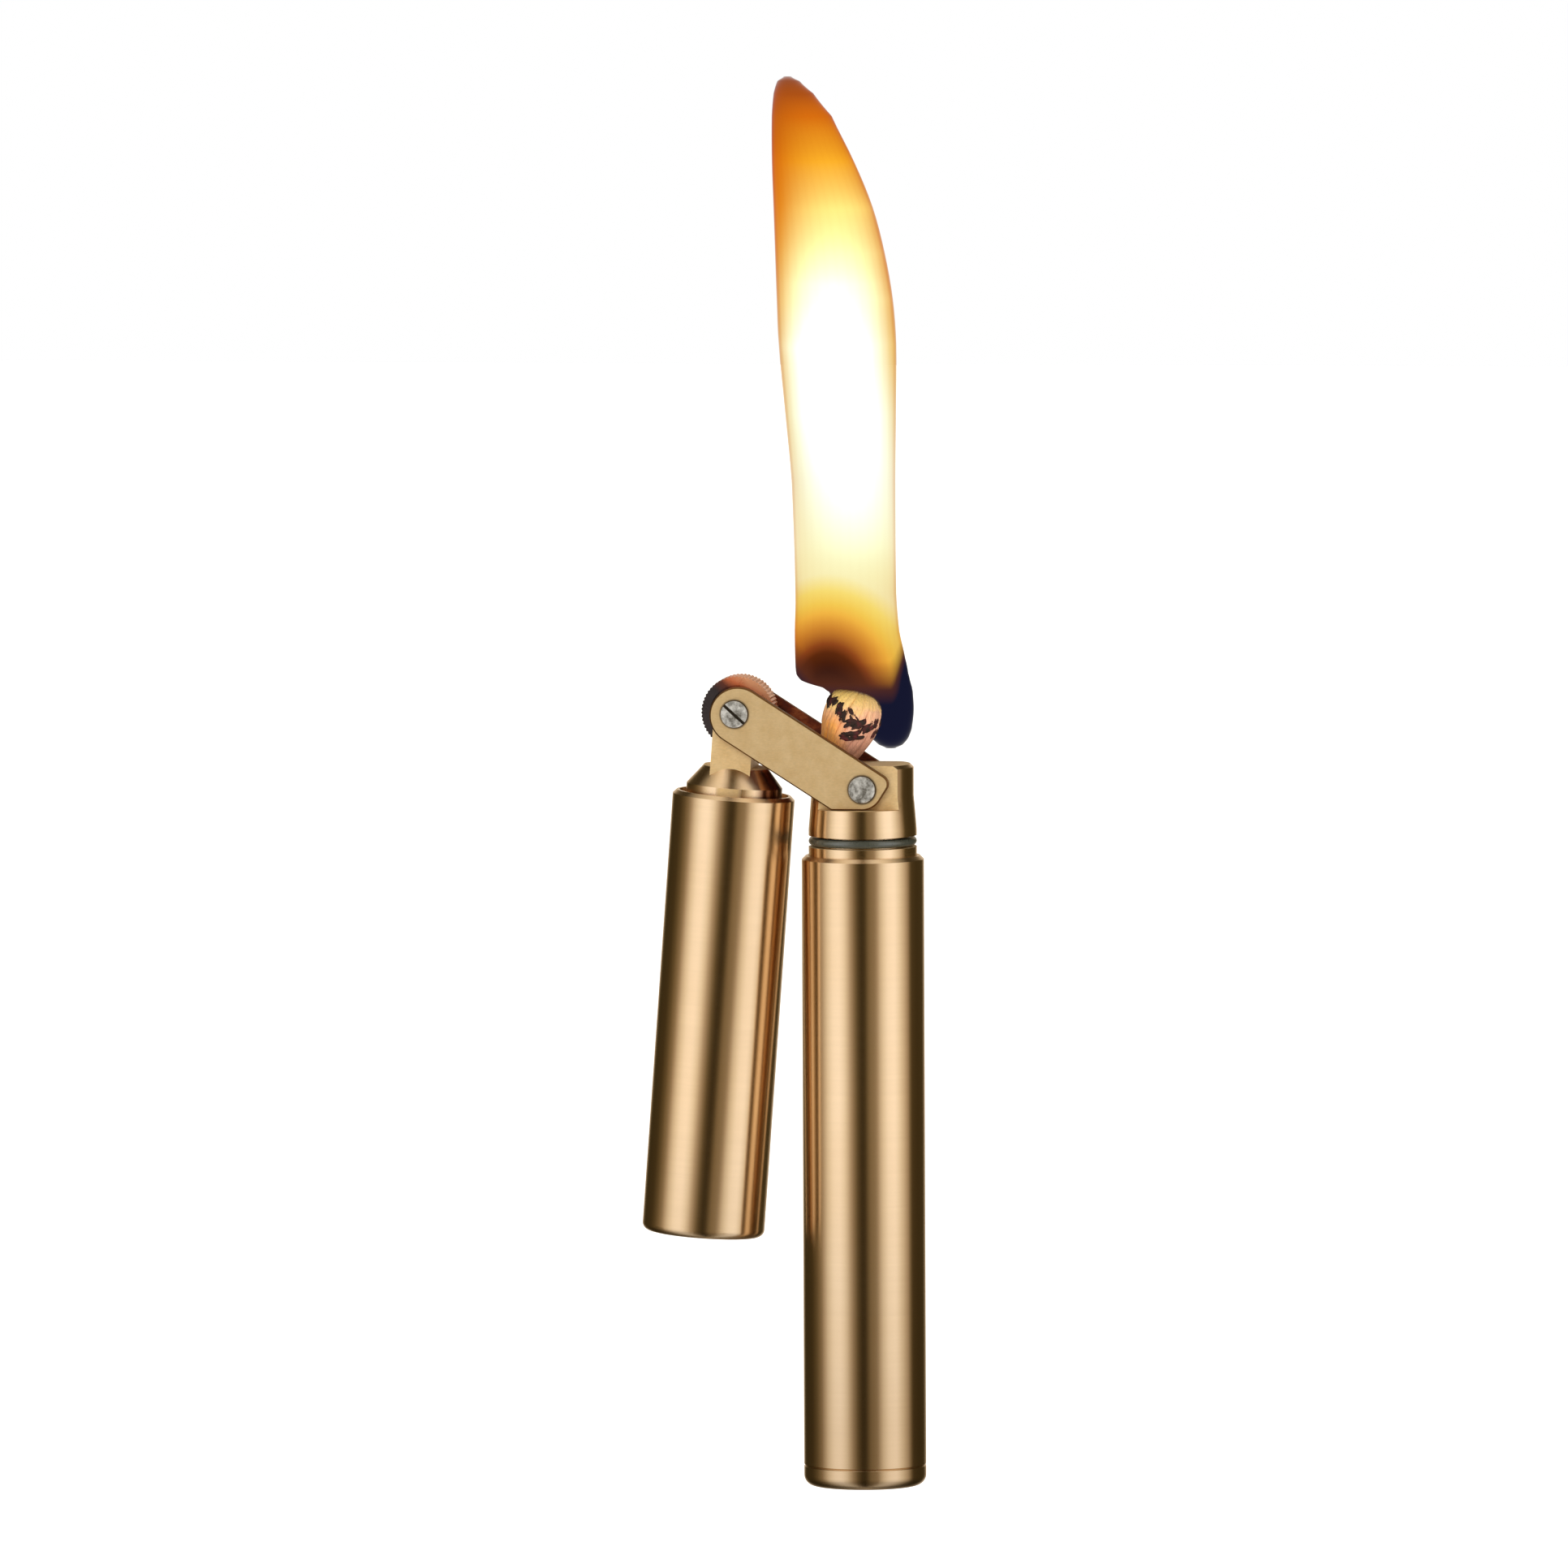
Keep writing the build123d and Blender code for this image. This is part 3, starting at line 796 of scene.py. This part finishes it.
def flame_gas():
    """Glowing gas: a coloured skin, a bright heart, and dark gas round the wick."""
    material = bpy.data.materials.new("flame_gas")
    material.use_nodes = True
    tree = material.node_tree
    tree.nodes.clear()
    output = node(tree, "ShaderNodeOutputMaterial")
    in_mm = node(tree, "ShaderNodeVectorMath", operation="SCALE")
    join(tree, place(tree), in_mm.inputs[0])
    in_mm.inputs["Scale"].default_value = 1 / MM
    x, y, z = (parts_of(tree, in_mm.outputs[0])[name] for name in "XYZ")
    share = ratio(tree, minus(tree, z, FLAME_LOW), FLAME_HIGH - FLAME_LOW)

    # How deep in the flame: 0 at its skin, 1 on its middle line. The heart leans to the right
    reach = OUTLINE_REACH
    edges = parts_of(tree, ramp(tree, share, up_flame([
        (height, tuple(value / (2 * reach) for value in (left + reach, right + reach, back)))
        for height, left, right, back in FLAME])))
    half = product(tree, minus(tree, edges["Y"], edges["X"]), reach)
    middle = minus(tree, product(tree, plus(tree, edges["X"], edges["Y"]), reach), reach)
    across = ratio(tree, minus(tree, x, middle), half)
    back = minus(tree, y, product(tree, edges["Z"], 2 * reach))
    deep_square = square(tree, ratio(tree, back, product(tree, half, FLAME_DEPTH)))
    depth = minus(tree, 1.0, plus(tree, square(tree, across), deep_square))
    leaning = minus(tree, plus(tree, across, 0.5), ramp(tree, share, up_flame(greys(HEART_LEAN))))
    heart = larger(tree, minus(tree, 1.0, plus(tree, square(tree, leaning), deep_square)), 0.0)
    heart = product(tree, maths(tree, "POWER", heart, 1.5), HEART_GLOW / MM)

    # How thick the gas is, and its outermost film
    thick = product(tree, ramp(tree, share, up_flame(greys(THICKNESS))), THICKEST / MM)
    film = mask_below(tree, larger(tree, depth, 0.0), 0.08, 0.08)

    # Distance from the dark gas
    squares = [square(tree, ratio(tree, minus(tree, value, centre), size))
               for value, centre, size in zip((x, y, z), DARK_CENTRE, DARK_SIZE)]
    away = maths(tree, "SQRT", plus(tree, plus(tree, squares[0], squares[1]), squares[2]))
    tint = ramp(tree, ratio(tree, away, 2.0), [(stop / 2, colour) for stop, colour in DARK_TINT])

    # The dark foot reaches higher on the far right, and a little on the far left
    right = larger(tree, minus(tree, x, 3.0), 0.0)
    left = larger(tree, minus(tree, -4.6, x), 0.0)
    edge = plus(tree, product(tree, square(tree, right), 1.7), product(tree, left, 0.9))
    risen = minus(tree, z, edge)
    burning = mask_above(tree, risen, *FOOT_EDGE)
    ember = mask_above(tree, risen, *EMBER_EDGE)
    skin = times(tree, ramp(tree, share, up_flame(SKIN)), tint)
    skin = mix_colour(tree, product(tree, film, 0.75), skin, times(tree, skin, FILM_TINT))
    skin = mix_colour(tree, ember, EMBER_COLOUR, skin)
    skin = mix_colour(tree, burning, FOOT_COLOUR, skin)
    thick = plus(tree, thick, product(tree, film, FILM_THICKNESS / MM))
    # No gas outside the flame's own outline, which is where its squashed body reaches
    thick = product(tree, thick, mask_above(tree, depth, -0.6, 0.4))

    absorb = node(tree, "ShaderNodeVolumeAbsorption")
    absorb.inputs["Color"].default_value = (0, 0, 0, 1)
    join(tree, thick, absorb.inputs["Density"])
    outer = node(tree, "ShaderNodeEmission")
    join(tree, skin, outer.inputs["Color"])
    join(tree, thick, outer.inputs["Strength"])
    inner = node(tree, "ShaderNodeEmission")
    join(tree, ramp(tree, share, up_flame(HEART)), inner.inputs["Color"])
    join(tree, heart, inner.inputs["Strength"])
    glow = together(tree, outer.outputs[0], inner.outputs[0])
    join(tree, together(tree, absorb.outputs[0], glow), output.inputs["Volume"])
    material.cycles.volume_step_rate = 0.12
    return material


def make_flame():
    """Flame as one closed body of rings."""
    rounds, between = 32, 4
    mesh = bmesh.new()
    heights = [FLAME_LOW]
    for low, high in zip(FLAME, FLAME[1:]):
        heights += [low[0] + (high[0] - low[0]) * (i + 1) / between for i in range(between)]
    rings = []
    for height in heights:
        left, right, back = smooth_through(FLAME, height)
        half, middle = max((right - left) / 2, 0.05), (left + right) / 2
        ring = []
        for i in range(rounds):
            a = 2 * pi * i / rounds
            deep = back + FLAME_DEPTH * half * sin(a)
            ring.append(mesh.verts.new(Vector((middle + half * cos(a), deep, height)) * MM))
        rings.append(ring)
    add_rings(mesh, rings)
    flame = add_piece("flame", mesh, (flame_gas(),))
    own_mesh(flame)


make_flame()


# ---------------------------------------------------------------- floor, light and camera

FLOOR_DROP = 70 * MM             # the lighter is held in the hand, this far above the table


def make_floor():
    bpy.ops.mesh.primitive_plane_add(size=6, location=(0, 0, -FLOOR_DROP))
    floor = bpy.context.object
    floor.name = "floor"
    material, tree, shader = new_material("floor_white")
    shader.inputs["Base Color"].default_value = (0.95, 0.95, 0.95, 1)
    shader.inputs["Roughness"].default_value = 0.9
    shader.inputs["Emission Color"].default_value = (1, 1, 1, 1)
    shader.inputs["Emission Strength"].default_value = 0.85
    floor.data.materials.append(material)
    floor.visible_glossy = False


# Soft studio: brightness around the horizon, by degrees to the right of the camera
STUDIO = (
    (-180, 0.50), (-168, 0.45), (-156, 0.05), (-145, 0.03), (-118, 0.04), (-104, 0.09), (-89, 0.22),
    (-74, 0.62), (-61, 0.84), (-47, 0.88), (-36, 0.70), (-24, 0.30), (-13, 0.08), (-4, 0.025),
    (3, 0.04), (11, 0.17), (24, 0.22), (34, 0.58), (47, 0.84), (62, 0.90), (76, 0.64), (90, 0.36),
    (102, 0.05), (123, 0.035), (152, 0.04), (164, 0.45), (180, 0.50),
)
# Darker parts of the studio are warmer
STUDIO_TINT = ((0.0, (1.0, 0.72, 0.25)), (0.3, (1.0, 0.83, 0.62)), (0.6, (1.0, 0.95, 0.82)),
               (0.9, grey(1.0)))
# How bright the bands are from straight down (0) to straight up (1), then what comes from
# overhead as well, and how much of that by share of the way round (0.5 is the camera)
STUDIO_BY_HEIGHT = ((0.26, 0.5), (0.38, 1.0), (0.65, 1.0), (0.8, 0.7), (1.0, 0.55))
OVERHEAD = ((0.84, grey(0.0)), (0.95, (0.40, 0.37, 0.30)))
OVERHEAD_AROUND = ((0.30, 1.0), (0.45, 0.1), (0.55, 0.1), (0.70, 1.0))
STUDIO_STRENGTH = 1.45
CAMERA_AZIMUTH = 7.5
CAMERA_ELEVATION = 4.6
CAMERA_ROLL = -0.25
CAMERA_DISTANCE = 2.5
VIEW_WIDTH = 0.1664              # what the frame takes in at the lighter
VIEW_CENTRE = (-0.00833, 0.0748)  # right of the body's axis, and above the base


def make_studio():
    """Vertical soft boxes as bands of sky, seen in the brass only; the camera sees white."""
    world = bpy.data.worlds.new("studio")
    bpy.context.scene.world = world
    world.use_nodes = True
    tree = world.node_tree
    tree.nodes.clear()
    output = node(tree, "ShaderNodeOutputWorld")
    coordinates = node(tree, "ShaderNodeTexCoord")
    turn = node(tree, "ShaderNodeMapping")
    turn.inputs["Rotation"].default_value = (0, 0, radians(-CAMERA_AZIMUTH))
    join(tree, coordinates.outputs["Generated"], turn.inputs["Vector"])
    way = parts_of(tree, turn.outputs["Vector"])
    angle = maths(tree, "ARCTAN2", way["X"], product(tree, way["Y"], -1.0))
    share = plus(tree, ratio(tree, angle, 2 * pi), 0.5)
    rise = plus(tree, ratio(tree, way["Z"], 2.0), 0.5)
    bands = ramp(tree, share, [(degree / 360 + 0.5, grey(value)) for degree, value in STUDIO])
    light = times(tree, times(tree, bands, ramp(tree, bands, STUDIO_TINT)),
                  ramp(tree, rise, greys(STUDIO_BY_HEIGHT)))
    overhead = times(tree, ramp(tree, rise, OVERHEAD), ramp(tree, share, greys(OVERHEAD_AROUND)))
    lit = node(tree, "ShaderNodeBackground", Strength=STUDIO_STRENGTH)
    join(tree, mix_colour(tree, 1.0, light, overhead, "ADD"), lit.inputs["Color"])
    seen = node(tree, "ShaderNodeBackground", Strength=1.0)
    seen.inputs["Color"].default_value = (1, 1, 1, 1)
    path = node(tree, "ShaderNodeLightPath")
    choice = node(tree, "ShaderNodeMixShader")
    join(tree, path.outputs["Is Camera Ray"], choice.inputs[0])
    join(tree, lit.outputs[0], choice.inputs[1])
    join(tree, seen.outputs[0], choice.inputs[2])
    join(tree, choice.outputs[0], output.inputs["Surface"])


def make_soft_light():
    """Big soft light above the camera. The polished brass is lit by the studio alone."""
    data = bpy.data.lights.new("soft_light", "AREA")
    data.shape = "RECTANGLE"
    data.size = 0.5
    data.size_y = 0.35
    data.energy = 3.2
    lamp = bpy.data.objects.new("soft_light", data)
    bpy.context.scene.collection.objects.link(lamp)
    lamp.location = (-0.15, -0.75, 0.55)
    aim = Vector((0, 0, 0.07)) - lamp.location
    lamp.rotation_euler = aim.to_track_quat("-Z", "Y").to_euler()
    lamp.visible_glossy = False


def make_camera():
    scene = bpy.context.scene
    data = bpy.data.cameras.new("camera")
    data.lens = data.sensor_width * CAMERA_DISTANCE / VIEW_WIDTH
    data.clip_start = 0.05
    data.clip_end = 20
    camera = bpy.data.objects.new("camera", data)
    scene.collection.objects.link(camera)
    a, e = radians(CAMERA_AZIMUTH), radians(CAMERA_ELEVATION)
    right = Vector((cos(a), sin(a), 0))
    back = Vector((sin(a) * cos(e), -cos(a) * cos(e), sin(e)))
    aim = right * VIEW_CENTRE[0] + Z_AXIS * VIEW_CENTRE[1]
    camera.location = aim + back * CAMERA_DISTANCE
    camera.rotation_mode = "QUATERNION"
    facing = (-back).to_track_quat("-Z", "Y")
    roll = Matrix.Rotation(radians(CAMERA_ROLL), 3, back).to_quaternion()
    camera.rotation_quaternion = roll @ facing
    scene.camera = camera


make_floor()
make_studio()
make_soft_light()
make_camera()
bpy.context.scene.view_settings.view_transform = "Standard"
